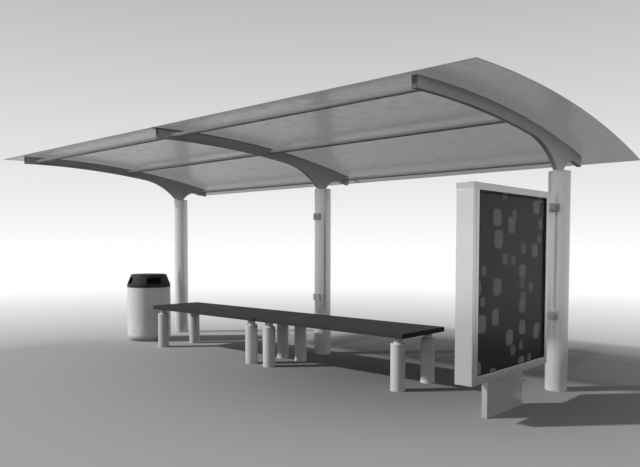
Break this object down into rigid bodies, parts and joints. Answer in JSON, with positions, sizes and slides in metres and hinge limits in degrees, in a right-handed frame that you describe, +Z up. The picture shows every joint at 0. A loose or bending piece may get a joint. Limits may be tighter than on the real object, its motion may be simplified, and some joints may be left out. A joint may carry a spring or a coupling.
{
  "type": "bus shelter",
  "caption": "Open bus shelter: curved translucent roof on cantilever arms and round columns, with a two-sided poster case, backless benches and a round litter bin.",
  "frame": {"origin": "centre of the middle column's foot at ground level", "axes": "+X along the shelter to the right as seen from the street, +Y to the rear, +Z up"},
  "size_m": [6.98, 3.172, 2.5098],
  "materials": {
    "column_steel": "satin, silver grey",
    "arm_paint": "dull light grey paint on cast aluminium",
    "purlin_paint": "dull light grey paint",
    "roof_sheet": "grey tinted, translucent, glossy",
    "case_paint": "satin, anodised silver grey",
    "case_pane": "clear",
    "poster_print": "dark grey print with paler, soft, rounded squares",
    "board_white": "matt white",
    "bracket_paint": "satin light grey",
    "bench_coat": "dark grey textured powder coat",
    "bench_leg_steel": "light grey satin",
    "bin_body": "light grey satin",
    "bin_hood": "black satin",
    "bin_liner": "mid grey matt"
  },
  "bodies": {
    "root": {"bench_legs_left": "bench_leg_steel", "bench_legs_right": "bench_leg_steel", "bench_seat_left": "bench_coat", "bench_seat_right": "bench_coat", "bin_base": "bin_body", "bin_body": "bin_body", "bin_hood": "bin_hood", "bin_liner": "bin_liner", "case_bottom_rail": "case_paint", "case_foot": "case_paint", "case_front_post": "case_paint", "case_rear_post": "case_paint", "case_top_cap": "case_paint", "column_caps": "column_steel", "column_feet": "column_steel", "front_purlin_left_bay": "purlin_paint", "front_purlin_right_bay": "purlin_paint", "glazing_strips": "arm_paint", "inner_backing_board": "board_white", "inner_pane": "case_pane", "inner_poster": "poster_print", "left_arm": "arm_paint", "left_column": "column_steel", "lower_case_bracket": "bracket_paint", "lower_column_saddle": "bracket_paint", "middle_arm": "arm_paint", "middle_column": "column_steel", "middle_purlin_left_bay": "purlin_paint", "middle_purlin_right_bay": "purlin_paint", "outer_backing_board": "board_white", "outer_pane": "case_pane", "outer_poster": "poster_print", "rear_purlin_left_bay": "purlin_paint", "rear_purlin_right_bay": "purlin_paint", "right_arm": "arm_paint", "right_column": "column_steel", "roof_sheet_left": "roof_sheet", "roof_sheet_right": "roof_sheet", "upper_case_bracket": "bracket_paint", "upper_column_saddle": "bracket_paint"}
  },
  "joints": []
}
